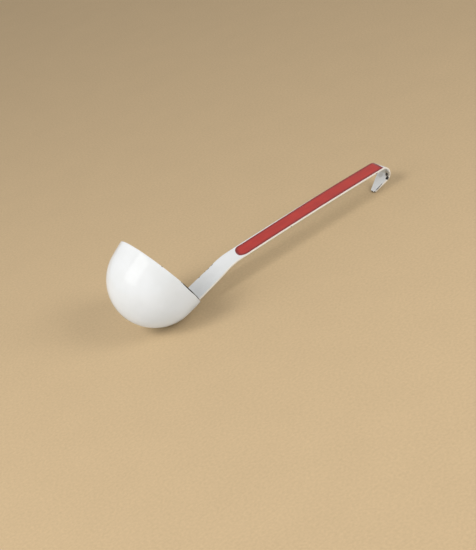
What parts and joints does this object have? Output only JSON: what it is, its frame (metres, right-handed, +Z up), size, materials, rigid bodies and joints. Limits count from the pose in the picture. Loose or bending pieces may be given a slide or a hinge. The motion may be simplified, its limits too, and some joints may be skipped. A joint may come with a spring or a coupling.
{
  "type": "soup ladle",
  "caption": "Enamelled steel soup ladle with a deep round bowl, a flat bent strap handle that curls into a hanging hook, and a coloured grip stripe.",
  "frame": {"origin": "centre of the bounding box's base: halfway along the length, on the ladle's plane of symmetry, at the level of the surface it lies on", "axes": "+X from the bowl to the hook, along the length; +Y across the strap, to the left when looking from the bowl to the hook; +Z up, with the ladle lying on the tang under its bowl and on the tip of its hook"},
  "size_m": [0.324, 0.0928, 0.0926],
  "materials": {
    "bowl_steel": "matte",
    "strap_steel": "matte",
    "weld_metal": "matte",
    "bowl_enamel": "gloss",
    "handle_enamel": "gloss",
    "red_enamel": "gloss"
  },
  "bodies": {
    "ladle": {"bowl_shell": "bowl_steel", "handle_strap": "strap_steel", "weld_nuggets": "weld_metal", "bowl_enamel": "bowl_enamel", "handle_enamel": "handle_enamel", "grip_stripe": "red_enamel"}
  },
  "joints": []
}
